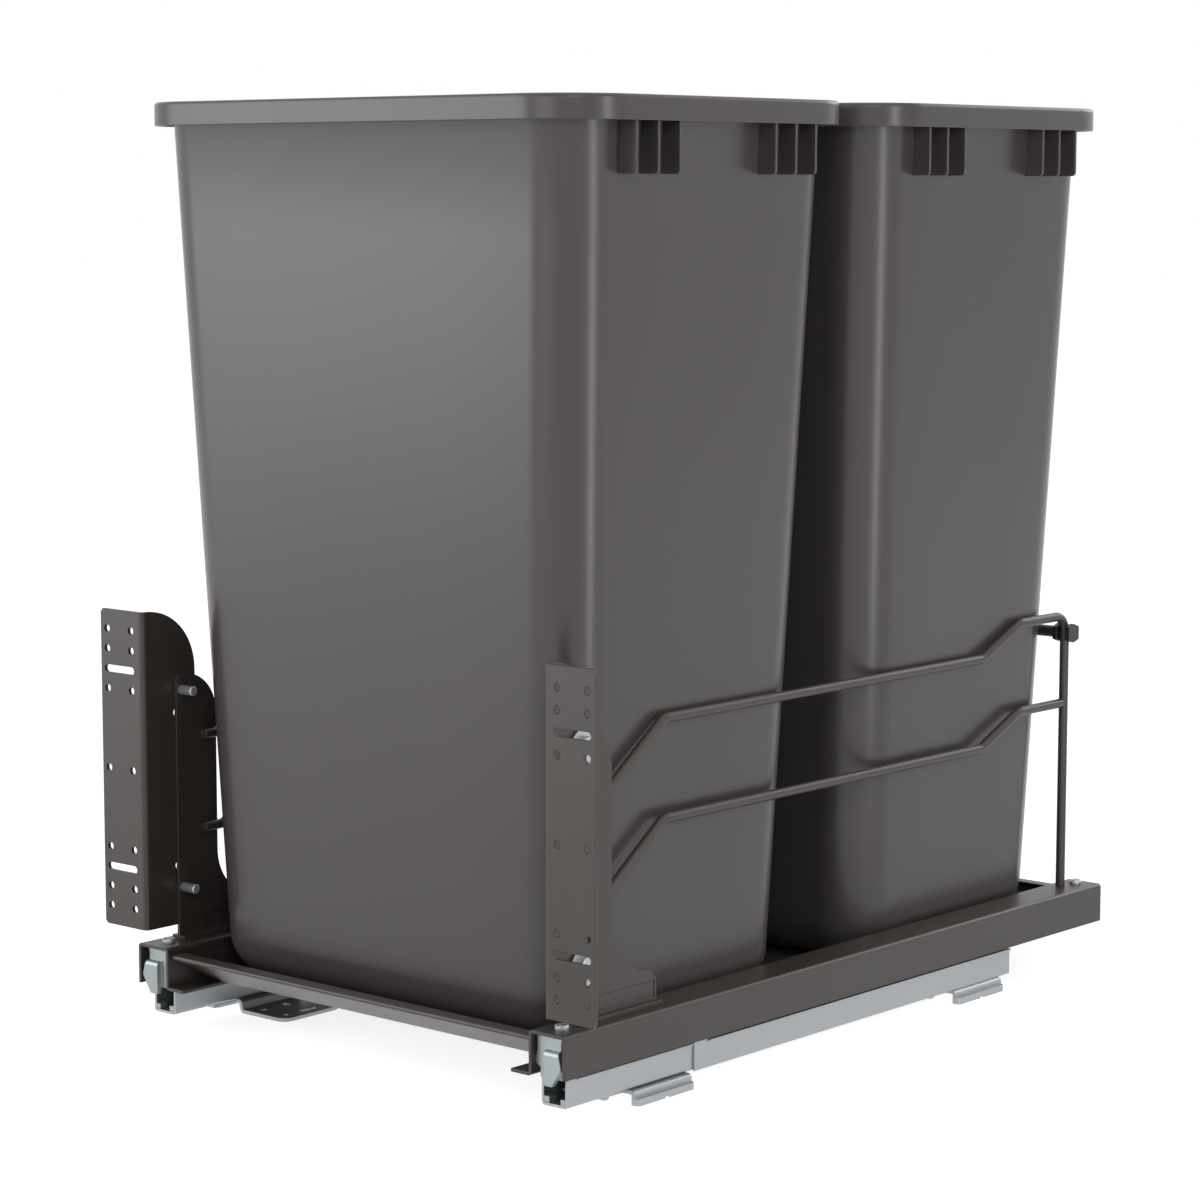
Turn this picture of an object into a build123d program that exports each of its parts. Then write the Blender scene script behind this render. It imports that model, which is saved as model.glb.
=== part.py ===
"""Double pull-out waste bin frame for a base cabinet, in millimetres.

X runs across the cabinet, -Y is the front where the door hangs, Z is up from the cabinet floor.
The frame is shown pushed home, with both bins standing in its tray.
"""
from build123d import *
import os

# Side rails and the clearances that everything shares
RAIL_TOP = 54.5
RAIL_WIDTH = 28.0
RAIL_OUTER_DROP = 26.1
RAIL_INNER_DROP = 27.4
RAIL_FLANGE = 14.0
RAIL_SHEET = 2.0
RAIL_BEND = 1.4
RUNNING_GAP = 0.3
FIT_GAP = 0.2
OVERRUN = 5.0

# Tray that the bins stand in
TRAY_SHEET = 1.5
TRAY_BEND = 0.9
TRAY_LIP_DEPTH = 12.3
TRAY_LIP_BELOW_RAIL = 4.5
TRAY_WEB_RUN = 34.0
TRAY_SIDE_LIP = 15.4

# Cabinet channel of each slide, its side cover, stop blocks and striker
CHANNEL_WIDTH = 19.7
CHANNEL_HEIGHT = 17.1
CHANNEL_BOTTOM = 9.0
CHANNEL_SHEET = 1.5
CHANNEL_BEND = 1.4
CHANNEL_FRONT = 8.3
CHANNEL_REAR_SETBACK = 106.0
CHANNEL_NOTCH = 9.0
CHANNEL_EDGE_LIP = 1.1
CHANNEL_EDGE_HEIGHT = 1.0
CHANNEL_KEEPER = 3.6
COVER_SETBACK = 114.3
COVER_SHEET = 1.1
COVER_TAB_LENGTH = 13.0
COVER_TAB_RISE = 1.2
STOP_INNER_WIDTH = 4.0
STOP_INNER_HEIGHT = 3.7
STOP_OUTER_WIDTH = 3.4
STOP_OUTER_HEIGHT = 3.4
STOP_LENGTH = 6.0
STRIKER_WIDTH = 2.8
STRIKER_THICKNESS = 4.0
STRIKER_FROM_END = 14.0
STRIKER_HEIGHT = 28.0

# Middle member and roller cages, which follow the frame's travel
FRAME_TRAVEL = 450.0
ROLLER_DIAMETER = 3.6
ROLLER_LENGTH = 6.4
ROLLER_PITCH = 12.0
CAGE_LENGTH = 180.0
CAGE_MARGIN = 1.5
CAGE_BRIDGE = 1.2
CAGE_BRIDGE_LENGTH = 4.0
MIDDLE_FRONT = 22.0
MIDDLE_REAR_SETBACK = 23.0
MIDDLE_SHEET = 1.5
MIDDLE_WEB = 2.0
MIDDLE_SIDE_GAP = 1.6

# Top member of the slide and its front end plate
TOP_WIDTH = 18.4
TOP_SIDE_GAP = 1.4
TOP_SHEET = 1.8
TOP_DROP = 18.5
TOP_KEEPER = 3.2
END_FRONT = 0.3
END_BOSS_DEPTH = 3.5
END_SHEET = 1.6
END_TOP_WIDTH = 20.4
END_NECK_WIDTH = 18.6
END_BULGE = 1.2
END_HEIGHT = 29.2
END_BACK_HEIGHT = 25.4
END_STEP = 2.6
END_BOSS_INSET = 7.6
END_BOSS_WIDTH = 13.8
END_BOSS_FOOT = 6.4
END_BOSS_DROP = 8.2
END_BOSS_ROUND = 3.2
END_NECK_SHARE = 0.12
END_BULGE_SHARES = (0.34, 0.48, 0.60)
END_BELLY_SHARE = 0.62

# Soft-close unit beside the slide, in the rear of each side rail
CLOSER_REAR_SETBACK = 9.3
CLOSER_WALL = 0.8
CLOSER_END_WALL = 2.0
CLOSER_ROOF = 5.0
CLOSER_DEPTH = 22.0
CATCH_TRAVEL = 40.0
CATCH_SETBACK = 2.0
CATCH_LENGTH = 15.0
CATCH_DEPTH = 10.0
CATCH_ARM_HEIGHT = 5.0
DAMPER_WALL = 0.6
DAMPER_END_WALL = 1.5
DAMPER_ROD = 1.2
PISTON_LENGTH = 2.5

# Floor brackets under the channels
FOOT_LENGTH = 53.0
FOOT_SHEET = 2.5
FOOT_BEND = 1.7
FOOT_OUTER_REACH = 16.2
FOOT_WALL_REACH = 12.0
FOOT_BEND_REACH = 11.6
FOOT_INNER_REACH = 51.7
FOOT_BEND_RUN = 1.6
FOOT_BLOCK_HEIGHT = 4.4
FOOT_BLOCK_CORNER = 2.8
FOOT_FRONT_SETBACK = 56.2
FOOT_REAR_SETBACK = 66.0
FOOT_CORNER = 7.5
TONGUE_WIDTH = 12.4
TONGUE_LENGTH = 18.3
TONGUE_SHEET = 1.5
TONGUE_TIP = 3.0
FOOT_NOTCH_HEIGHT = 1.0
FOOT_NOTCH_LENGTH = 4.6
FOOT_NOTCH_BACK = 24.8
FOOT_HOLE = 4.5
FOOT_HOLE_INSET = 8.3
FOOT_HOLE_BACK = 9.3
FOOT_HOLE_SPACING = 20.5
FOOT_SLOT_BACK = 20.0
FOOT_SLOT_LENGTH = 14.0

# Upright plates that carry the door brackets
UPRIGHT_SHEET = 2.0
UPRIGHT_FRONT_Y = 22.0
UPRIGHT_HEIGHT = 173.6
UPRIGHT_WIDTH = 34.0
UPRIGHT_FRONT_ROUND = 4.0
UPRIGHT_REAR_ROUND = 27.0
UPRIGHT_FOOT_LENGTH = 75.0
UPRIGHT_FOOT_HEIGHT = 21.5
UPRIGHT_FOOT_ROUND = 9.5
UPRIGHT_FLARE = 33.5
UPRIGHT_BASE_WIDTH = 12.0
UPRIGHT_BASE_HEIGHT = 3.0
PANEL_SETBACK = 22.5
PANEL_LENGTH = 50.8
PANEL_HEIGHT = 10.3
PANEL_ABOVE_BASE = 1.0
PANEL_DEPTH = 0.5

# Door brackets
DOOR_SHEET = 2.2
DOOR_BEND = 2.4
DOOR_HEIGHT = 205.8
DOOR_ABOVE_RAIL = 10.0
DOOR_FLANGE = 39.5
DOOR_WEB_DEPTH = 40.2
DOOR_FORWARD = 1.9
DOOR_ARC = 40.0
DOOR_LOWER_ROUND = 10.0
DOOR_CORNER_CUT = 2.0
DOOR_HOLE = 5.2
DOOR_HOLE_PITCH = 12.9
DOOR_HOLE_STEPS = (-7, -6, -4, 0, 4, 6, 7)
DOOR_SLOT_STEPS = (-5, 5)
DOOR_COLUMN_INSET = 10.8
DOOR_COLUMN_SPACING = 22.7
DOOR_SLOT_LENGTH = 28.0
DOOR_SLOT_HEIGHT = 5.0
WEB_SLOT_LENGTH = 16.0
WEB_SLOT_WIDTH = 7.2
WEB_TILT_SLOT_WIDTH = 5.0
WEB_TILT_SLOT_FRONT = 21.4
WEB_TILT_SLOT_SHIFT = 14.5

# Bolts that clamp the door brackets
BOLT_DIAMETER = 6.35
BOLT_Y = 26.7
BOLT_LOW = 34.4
BOLT_SPACING = 129.0
BOLT_REACH = 11.7
BOLT_CHAMFER = 0.6
BOLT_HEAD_DIAMETER = 15.0
BOLT_HEAD_HEIGHT = 4.5
BOLT_HEAD_EDGE = 1.5
BOLT_KEY = 5.0
BOLT_KEY_DEPTH = 2.5
WASHER_DIAMETER = 23.0
WASHER_THICKNESS = 1.5

# Wire sides and the rear cross rod
WIRE_DIAMETER = 6.35
WIRE_BEND = 9.0
WIRE_CORNER_BEND = 11.0
WIRE_START_Y = 42.0
WIRE_RISE_Y = 58.0
WIRE_LEVEL_Y = 109.0
WIRE_REAR_LEVEL = 55.5
WIRE_REAR_RISE = 45.0
WIRE_START_Z = 133.0
WIRE_LEVEL_Z = 170.3
WIRE_REAR_Z = 190.2
WIRE_SPACING = 60.8
WIRE_BIN_GAP = 0.72
ROD_BIN_GAP = 1.17
ROD_Z = 178.2
ROD_SETBACK = 1.5
ROD_DIAMETER = 8.0
CLIP_HEIGHT = 13.0
CLIP_WIDTH = 12.4
CLIP_SIDE = 8.8
CLIP_FLANGE = 3.4

# Screws on the side rails
SCREW_FRONT_Y = 13.4
SCREW_REAR_SETBACK = 11.0
SCREW_HEAD = 8.6
SCREW_HEAD_HEIGHT = 3.0
SCREW_HEAD_EDGE = 1.6
SCREW_SLOT = 1.2
SCREW_SLOT_DEPTH = 1.0
SCREW_SHANK = 4.0

# Bins
BIN_HEIGHT = 560.3
BIN_RIM_WIDTH = 378.0
BIN_RIM_DEPTH = 270.3
BIN_RIM_ROUND = 44.0
BIN_SKIRT = 14.8
BIN_RIM_EDGE = 2.4
BIN_SIDE_OVERHANG = 13.5
BIN_FRONT_OVERHANG = 10.5
BIN_SIDE_TAPER = 22.6
BIN_FRONT_TAPER = 20.0
BIN_BODY_ROUND = 33.0
BIN_FOOT_ROUND = 30.0
BIN_WALL = 2.5
BIN_FRONT_Y = 4.7
BIN_GAP = 15.1
BIN_REAR_MARGIN = 4.6
FIN_HEIGHT = 30.2
FIN_THICKNESS = 1.9
FIN_PITCH = 19.4
FIN_COUNT = 3
FIN_GROUP_OFFSET = 64.0
FIN_GROUP_SHIFT = 1.6
FIN_SETBACK = 1.0
FIN_ROUND = 2.6

# Planes and heights that follow
SHELF_TOP = RAIL_TOP - RAIL_INNER_DROP + RAIL_SHEET
TRAY_TOP = SHELF_TOP + TRAY_SHEET
BIN_PITCH = BIN_RIM_DEPTH + BIN_GAP
BIN_BODY_HEIGHT = BIN_HEIGHT - BIN_SKIRT
RAIL_LENGTH = BIN_FRONT_Y + BIN_PITCH + BIN_RIM_DEPTH + BIN_REAR_MARGIN


def taper_share(height):
    """Share of the bins' taper that is left at a height above the cabinet floor."""
    return 1 - (height - TRAY_TOP) / BIN_BODY_HEIGHT


WIRE_TOP = RAIL_TOP + WIRE_REAR_Z + WIRE_DIAMETER / 2
BIN_SIDE_AT_WIRE = BIN_RIM_WIDTH / 2 - BIN_SIDE_OVERHANG - BIN_SIDE_TAPER * taper_share(WIRE_TOP)
RAIL_CENTRE = BIN_SIDE_AT_WIRE + WIRE_BIN_GAP + WIRE_DIAMETER + UPRIGHT_SHEET / 2
BIN_REAR_AT_ROD = (
    RAIL_LENGTH - BIN_REAR_MARGIN - BIN_FRONT_OVERHANG - BIN_FRONT_TAPER * taper_share(RAIL_TOP + ROD_Z)
)
RAIL_INNER_X = RAIL_CENTRE - RAIL_WIDTH / 2
RAIL_OUTER_X = RAIL_CENTRE + RAIL_WIDTH / 2
RAIL_CEILING = RAIL_TOP - RAIL_SHEET
RAIL_INSIDE_BEND = RAIL_BEND - RAIL_SHEET / 2
SCREW_HOLE = SCREW_SHANK + 2 * FIT_GAP
TOP_INNER_X = RAIL_INNER_X + RAIL_SHEET + TOP_SIDE_GAP
CHANNEL_CENTRE = TOP_INNER_X + TOP_WIDTH / 2
CHANNEL_TOP = CHANNEL_BOTTOM + CHANNEL_HEIGHT
CHANNEL_REAR = RAIL_LENGTH - CHANNEL_REAR_SETBACK
FOOT_FRONT_Y = CHANNEL_FRONT + FOOT_FRONT_SETBACK
FOOT_REAR_Y = CHANNEL_REAR - FOOT_REAR_SETBACK
CHANNEL_FLOOR = CHANNEL_BOTTOM + CHANNEL_SHEET
CHANNEL_OUTER_X = CHANNEL_CENTRE + CHANNEL_WIDTH / 2
COVER_FRONT = CHANNEL_FRONT + COVER_SETBACK
LOWER_CAGE_Z = CHANNEL_FLOOR + RUNNING_GAP
LOWER_CAGE_FRONT = CHANNEL_FRONT + STOP_LENGTH + FRAME_TRAVEL / 4 + CAGE_MARGIN
LOWER_CAGE_HALF = CHANNEL_WIDTH / 2 - CHANNEL_SHEET - (CHANNEL_BEND - CHANNEL_SHEET / 2)
MIDDLE_BOTTOM = LOWER_CAGE_Z + ROLLER_DIAMETER + RUNNING_GAP
TOP_CEILING = RAIL_CEILING - TOP_SHEET
UPPER_CAGE_Z = TOP_CEILING - RUNNING_GAP - ROLLER_DIAMETER
UPPER_CAGE_FRONT = MIDDLE_FRONT + FRAME_TRAVEL / 4 + CAGE_MARGIN
UPPER_CAGE_HALF = TOP_WIDTH / 2 - TOP_SHEET - TOP_SHEET / 2
MIDDLE_TOP = UPPER_CAGE_Z - RUNNING_GAP
MIDDLE_FLANGE = TOP_WIDTH - 2 * TOP_SHEET - 2 * MIDDLE_SIDE_GAP
TOP_FRONT = END_FRONT + END_BOSS_DEPTH + END_SHEET
CLOSER_INNER_X = CHANNEL_CENTRE + MIDDLE_FLANGE / 2 + 2 * RUNNING_GAP
CLOSER_OUTER_X = RAIL_OUTER_X - RAIL_SHEET - RAIL_INSIDE_BEND - FIT_GAP
CLOSER_CEILING = RAIL_CEILING - CLOSER_ROOF
STRIKER_X = CHANNEL_CENTRE + MIDDLE_WEB / 2 + 2 * RUNNING_GAP
STRIKER_REAR = CHANNEL_REAR - STRIKER_FROM_END
STRIKER_TOP = CHANNEL_FLOOR + STRIKER_HEIGHT
CATCH_FRONT = STRIKER_REAR - STRIKER_THICKNESS / 2 - CATCH_LENGTH / 2
CLOSER_FRONT = CATCH_FRONT - CATCH_SETBACK
CLOSER_REAR = RAIL_LENGTH - CLOSER_REAR_SETBACK
TOP_REAR = CLOSER_FRONT - FIT_GAP
MIDDLE_REAR = CHANNEL_REAR - MIDDLE_REAR_SETBACK
CATCH_TOP = CLOSER_CEILING - RUNNING_GAP
CATCH_INNER_X = CLOSER_INNER_X + CLOSER_WALL + RUNNING_GAP
CATCH_OUTER_X = CLOSER_OUTER_X - CLOSER_WALL - RUNNING_GAP
DAMPER_X = (CATCH_INNER_X + CATCH_OUTER_X) / 2
DAMPER_DIAMETER = CATCH_OUTER_X - CATCH_INNER_X
DAMPER_BORE = DAMPER_DIAMETER - 2 * DAMPER_WALL
PISTON_DIAMETER = DAMPER_BORE - 2 * RUNNING_GAP
DAMPER_Z = CATCH_TOP - CATCH_DEPTH / 2
DAMPER_REAR = CLOSER_REAR - CLOSER_END_WALL
DAMPER_LENGTH = CATCH_TRAVEL + PISTON_LENGTH + 2 * DAMPER_END_WALL + 2 * RUNNING_GAP
DAMPER_FRONT = DAMPER_REAR - DAMPER_LENGTH
UPRIGHT_INNER_X = RAIL_CENTRE - UPRIGHT_SHEET / 2
UPRIGHT_OUTER_X = RAIL_CENTRE + UPRIGHT_SHEET / 2
DOOR_INNER_X = UPRIGHT_OUTER_X + RUNNING_GAP
DOOR_OUTER_X = DOOR_INNER_X + DOOR_SHEET
DOOR_BOTTOM = RAIL_TOP + DOOR_ABOVE_RAIL
BOLT_HOLE = BOLT_DIAMETER + 2 * FIT_GAP
BOLT_HEIGHTS = (RAIL_TOP + BOLT_LOW, RAIL_TOP + BOLT_LOW + BOLT_SPACING)
WIRE_X = UPRIGHT_INNER_X - WIRE_DIAMETER / 2
ROD_Y = BIN_REAR_AT_ROD + ROD_BIN_GAP + ROD_DIAMETER / 2
POST_Y = ROD_Y - ROD_SETBACK
WIRE_REAR_LEVEL_Y = POST_Y - WIRE_REAR_LEVEL
WIRE_REAR_RISE_Y = WIRE_REAR_LEVEL_Y - WIRE_REAR_RISE
SCREW_REAR_Y = RAIL_LENGTH - SCREW_REAR_SETBACK


def block(x0, x1, y0, y1, z0, z1):
    """A box between two corners."""
    return Pos((x0 + x1) / 2, (y0 + y1) / 2, (z0 + z1) / 2) * Box(x1 - x0, y1 - y0, z1 - z0)


def rod_x(diameter, x0, x1, y, z):
    """A round bar along X."""
    return Pos((x0 + x1) / 2, y, z) * Rot(0, 90, 0) * Cylinder(diameter / 2, x1 - x0)


def rod_y(diameter, x, y0, y1, z):
    """A round bar along Y."""
    return Pos(x, (y0 + y1) / 2, z) * Rot(90, 0, 0) * Cylinder(diameter / 2, y1 - y0)


def rod_z(diameter, x, y, z0, z1):
    """A round bar along Z."""
    return Pos(x, y, (z0 + z1) / 2) * Cylinder(diameter / 2, z1 - z0)


def along_x(face, x0, x1):
    """A face drawn in Y and Z, run from x0 to x1."""
    plane = Plane(origin=(x0, 0, 0), x_dir=(0, 1, 0), z_dir=(1, 0, 0))
    return extrude(plane * face, amount=x1 - x0, dir=(1, 0, 0))


def along_y(face, y0, y1):
    """A face drawn in X and Z, run from y0 to y1."""
    plane = Plane(origin=(0, y1, 0), x_dir=(1, 0, 0), z_dir=(0, -1, 0))
    return extrude(plane * face, amount=y1 - y0, dir=(0, -1, 0))


def bent_section(points, sheet, bend):
    """The section of a sheet that follows a centre line and is bent at its corners."""
    return trace(FilletPolyline(*points, radius=bend), line_width=sheet)


def drop_slot(x, y, length, width, z0, z1, turn):
    """A round-ended slot cut along Z."""
    return Pos(x, y, z0) * Rot(0, 0, turn) * extrude(SlotOverall(length, width), amount=z1 - z0)


def save(name, shape):
    """Write one sub-part."""
    export_step(shape, f"parts/{name}.step")


def save_pair(name, right):
    """Write a right-hand sub-part and its mirror image on the left."""
    save(name + "_right", right)
    save(name + "_left", mirror(right, about=Plane.YZ))


def side_rail():
    """Inverted channel whose inner wall turns in to make the shelf under the tray."""
    half = RAIL_SHEET / 2
    section = bent_section([
        (RAIL_INNER_X - RAIL_FLANGE, SHELF_TOP - half),
        (RAIL_INNER_X + half, SHELF_TOP - half),
        (RAIL_INNER_X + half, RAIL_TOP - half),
        (RAIL_OUTER_X - half, RAIL_TOP - half),
        (RAIL_OUTER_X - half, RAIL_TOP - RAIL_OUTER_DROP),
    ], RAIL_SHEET, RAIL_BEND)
    rail = along_y(section, 0, RAIL_LENGTH)
    for y in (SCREW_FRONT_Y, SCREW_REAR_Y):
        rail -= rod_z(SCREW_HOLE, RAIL_CENTRE, y, RAIL_CEILING - OVERRUN, RAIL_TOP + OVERRUN)
    return rail


def base_tray():
    """Folded tray: flat floor, sloped front and rear webs with returned lips, low side lips."""
    half = TRAY_SHEET / 2
    lip_z = RAIL_TOP - TRAY_LIP_BELOW_RAIL - half
    floor_z = TRAY_TOP - half
    edge_x = RAIL_INNER_X - RAIL_INSIDE_BEND - FIT_GAP
    section = bent_section([
        (TRAY_LIP_DEPTH, lip_z),
        (half, lip_z),
        (TRAY_WEB_RUN, floor_z),
        (RAIL_LENGTH - TRAY_WEB_RUN, floor_z),
        (RAIL_LENGTH - half, lip_z),
        (RAIL_LENGTH - TRAY_LIP_DEPTH, lip_z),
    ], TRAY_SHEET, TRAY_BEND)
    tray = along_x(section, -edge_x, edge_x)
    for side in (-1, 1):
        outer = side * edge_x
        inner = side * (edge_x - TRAY_SHEET)
        tray += block(
            min(outer, inner), max(outer, inner),
            TRAY_WEB_RUN, RAIL_LENGTH - TRAY_WEB_RUN,
            floor_z, TRAY_TOP + TRAY_SIDE_LIP,
        )
    return tray


def cabinet_channel():
    """Channel screwed to the cabinet floor through its brackets, with keepers along its mouth."""
    half = CHANNEL_SHEET / 2
    reach = CHANNEL_WIDTH / 2 - half
    floor_z = CHANNEL_BOTTOM + half
    section = bent_section([
        (CHANNEL_CENTRE - reach, CHANNEL_TOP),
        (CHANNEL_CENTRE - reach, floor_z),
        (CHANNEL_CENTRE + reach, floor_z),
        (CHANNEL_CENTRE + reach, CHANNEL_TOP),
    ], CHANNEL_SHEET, CHANNEL_BEND)
    channel = along_y(section, CHANNEL_FRONT, CHANNEL_REAR)
    keeper_front = CHANNEL_FRONT + 2 * CHANNEL_NOTCH
    for side in (-1, 1):
        wall = CHANNEL_CENTRE + side * reach
        lip = CHANNEL_CENTRE + side * (reach - half - CHANNEL_KEEPER)
        channel += block(
            min(wall, lip), max(wall, lip), keeper_front, CHANNEL_REAR,
            CHANNEL_TOP - CHANNEL_SHEET, CHANNEL_TOP,
        )
    channel += block(
        CHANNEL_OUTER_X - half, CHANNEL_OUTER_X + CHANNEL_EDGE_LIP,
        CHANNEL_FRONT + CHANNEL_NOTCH, COVER_FRONT - FIT_GAP,
        CHANNEL_TOP - CHANNEL_EDGE_HEIGHT, CHANNEL_TOP,
    )
    return channel


def channel_cover():
    """Side cover that hugs the channel's outer wall behind the front bracket."""
    outer = CHANNEL_OUTER_X + COVER_SHEET
    cover = block(
        CHANNEL_OUTER_X, outer, COVER_FRONT, CHANNEL_REAR,
        CHANNEL_BOTTOM, CHANNEL_TOP,
    )
    tab_rear = COVER_FRONT + COVER_TAB_LENGTH
    cover += block(
        CHANNEL_OUTER_X, outer, COVER_FRONT, tab_rear,
        CHANNEL_BOTTOM, CHANNEL_TOP + COVER_TAB_RISE,
    )
    cover += block(
        CHANNEL_OUTER_X, outer + CHANNEL_EDGE_LIP, tab_rear, CHANNEL_REAR,
        CHANNEL_TOP - CHANNEL_EDGE_HEIGHT, CHANNEL_TOP,
    )
    return cover


def stop_blocks():
    """Two moulded stops in the channel's lower front corners."""
    reach = CHANNEL_WIDTH / 2 - CHANNEL_SHEET - FIT_GAP
    low = CHANNEL_CENTRE - reach
    high = CHANNEL_CENTRE + reach
    rear = CHANNEL_FRONT + STOP_LENGTH
    z0 = CHANNEL_FLOOR + FIT_GAP
    inner = block(low, low + STOP_INNER_WIDTH, CHANNEL_FRONT, rear, z0, z0 + STOP_INNER_HEIGHT)
    outer = block(high - STOP_OUTER_WIDTH, high, CHANNEL_FRONT, rear, z0, z0 + STOP_OUTER_HEIGHT)
    return inner + outer


def striker():
    """Post near the channel's rear end, beside the middle member's web, for the soft-close catch."""
    return block(
        STRIKER_X, STRIKER_X + STRIKER_WIDTH, STRIKER_REAR - STRIKER_THICKNESS, STRIKER_REAR,
        CHANNEL_FLOOR, STRIKER_TOP,
    )


def roller_places(front):
    """Y of each roller in a cage."""
    count = int((CAGE_LENGTH - ROLLER_PITCH) / ROLLER_PITCH)
    first = front + (CAGE_LENGTH - (count - 1) * ROLLER_PITCH) / 2
    return [first + k * ROLLER_PITCH for k in range(count)]


def roller_cage(front, z0, outer, bridge_on_top):
    """Moulded cage: two runners joined by a thin bridge between each pair of rollers."""
    inner = ROLLER_LENGTH / 2 + FIT_GAP
    rear = front + CAGE_LENGTH
    top = z0 + ROLLER_DIAMETER
    cage = block(CHANNEL_CENTRE - outer, CHANNEL_CENTRE - inner, front, rear, z0, top)
    cage += block(CHANNEL_CENTRE + inner, CHANNEL_CENTRE + outer, front, rear, z0, top)
    low = top - CAGE_BRIDGE if bridge_on_top else z0
    places = roller_places(front)
    for y in [places[0] - ROLLER_PITCH] + places:
        bridge_y = y + ROLLER_PITCH / 2
        cage += block(
            CHANNEL_CENTRE - inner, CHANNEL_CENTRE + inner,
            bridge_y - CAGE_BRIDGE_LENGTH / 2, bridge_y + CAGE_BRIDGE_LENGTH / 2,
            low, low + CAGE_BRIDGE,
        )
    return cage


def rollers(front, z0):
    """Steel rollers of one cage."""
    low = CHANNEL_CENTRE - ROLLER_LENGTH / 2
    high = CHANNEL_CENTRE + ROLLER_LENGTH / 2
    z = z0 + ROLLER_DIAMETER / 2
    return Part() + [rod_x(ROLLER_DIAMETER, low, high, y, z) for y in roller_places(front)]


def middle_member():
    """I-shaped member between the two roller cages."""
    half = MIDDLE_FLANGE / 2
    member = block(
        CHANNEL_CENTRE - half, CHANNEL_CENTRE + half, MIDDLE_FRONT, MIDDLE_REAR,
        MIDDLE_BOTTOM, MIDDLE_BOTTOM + MIDDLE_SHEET,
    )
    member += block(
        CHANNEL_CENTRE - MIDDLE_WEB / 2, CHANNEL_CENTRE + MIDDLE_WEB / 2, MIDDLE_FRONT, MIDDLE_REAR,
        MIDDLE_BOTTOM, MIDDLE_TOP,
    )
    member += block(
        CHANNEL_CENTRE - half, CHANNEL_CENTRE + half, MIDDLE_FRONT, MIDDLE_REAR,
        MIDDLE_TOP - MIDDLE_SHEET, MIDDLE_TOP,
    )
    return member


def top_member():
    """Inverted channel under the side rail's top, with keepers along its mouth."""
    half = TOP_SHEET / 2
    reach = TOP_WIDTH / 2 - half
    lip = reach - half - TOP_KEEPER
    low = RAIL_CEILING - TOP_DROP + half
    high = RAIL_CEILING - half
    section = bent_section([
        (CHANNEL_CENTRE - lip, low),
        (CHANNEL_CENTRE - reach, low),
        (CHANNEL_CENTRE - reach, high),
        (CHANNEL_CENTRE + reach, high),
        (CHANNEL_CENTRE + reach, low),
        (CHANNEL_CENTRE + lip, low),
    ], TOP_SHEET, TOP_SHEET)
    member = along_y(section, TOP_FRONT, TOP_REAR)
    return member - rod_z(SCREW_HOLE, RAIL_CENTRE, SCREW_FRONT_Y, TOP_CEILING - OVERRUN, RAIL_TOP)


def end_plate():
    """Front end plate of the top member: a necked back with a bellied boss on its outer half."""
    x0 = CHANNEL_CENTRE - END_NECK_WIDTH / 2
    x1 = CHANNEL_CENTRE + END_NECK_WIDTH / 2
    flare = (END_TOP_WIDTH - END_NECK_WIDTH) / 2
    top = RAIL_CEILING - FIT_GAP
    back_front = END_FRONT + END_BOSS_DEPTH
    bulge_start, bulge_peak, bulge_end = END_BULGE_SHARES
    back = make_face(Polyline(
        (x0 - flare, top),
        (x1 + flare, top),
        (x1, top - END_NECK_SHARE * END_HEIGHT),
        (x1, top - END_BACK_HEIGHT),
        (x0 + END_STEP, top - END_BACK_HEIGHT),
        (x0 + END_STEP, top - bulge_end * END_HEIGHT - END_STEP),
        (x0 - END_BULGE, top - bulge_end * END_HEIGHT),
        (x0 - END_BULGE, top - bulge_peak * END_HEIGHT),
        (x0, top - bulge_start * END_HEIGHT),
        (x0, top - END_NECK_SHARE * END_HEIGHT),
        close=True,
    ))
    plate = along_y(back, back_front, back_front + END_SHEET)
    boss_x = x0 + END_BOSS_INSET
    boss_top = top - END_BOSS_DROP
    belly = top - END_BELLY_SHARE * END_HEIGHT
    front = make_face(Polyline(
        (boss_x, boss_top),
        (x1, boss_top),
        (boss_x + END_BOSS_WIDTH, belly),
        (boss_x + END_BOSS_FOOT, top - END_HEIGHT),
        (boss_x, top - END_HEIGHT),
        close=True,
    ))
    front = fillet(front.vertices().sort_by(Axis.X)[-1], END_BOSS_WIDTH / 3)
    boss = along_y(front, END_FRONT, back_front)
    ridge = boss.edges().filter_by(Axis.X).group_by(Axis.Z)[-1].sort_by(Axis.Y)[0]
    return plate + fillet(ridge, END_BOSS_ROUND)


def closer_housing():
    """Roof screwed under the rail's top, with a walled bay outboard of the middle member's path."""
    low = RAIL_CEILING - CLOSER_DEPTH
    roof_x = RAIL_INNER_X + RAIL_SHEET + RAIL_INSIDE_BEND + FIT_GAP
    housing = block(roof_x, CLOSER_OUTER_X, CLOSER_FRONT, CLOSER_REAR, CLOSER_CEILING, RAIL_CEILING)
    housing += block(
        CLOSER_OUTER_X - CLOSER_WALL, CLOSER_OUTER_X, CLOSER_FRONT, CLOSER_REAR, low, RAIL_CEILING,
    )
    housing += block(
        CLOSER_INNER_X, CLOSER_OUTER_X, DAMPER_REAR, CLOSER_REAR, low, RAIL_CEILING,
    )
    housing += block(
        CLOSER_INNER_X, CLOSER_INNER_X + CLOSER_WALL, DAMPER_FRONT, CLOSER_REAR, low, RAIL_CEILING,
    )
    return housing - rod_z(SCREW_HOLE, RAIL_CENTRE, SCREW_REAR_Y, CLOSER_CEILING - OVERRUN, RAIL_TOP)


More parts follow.
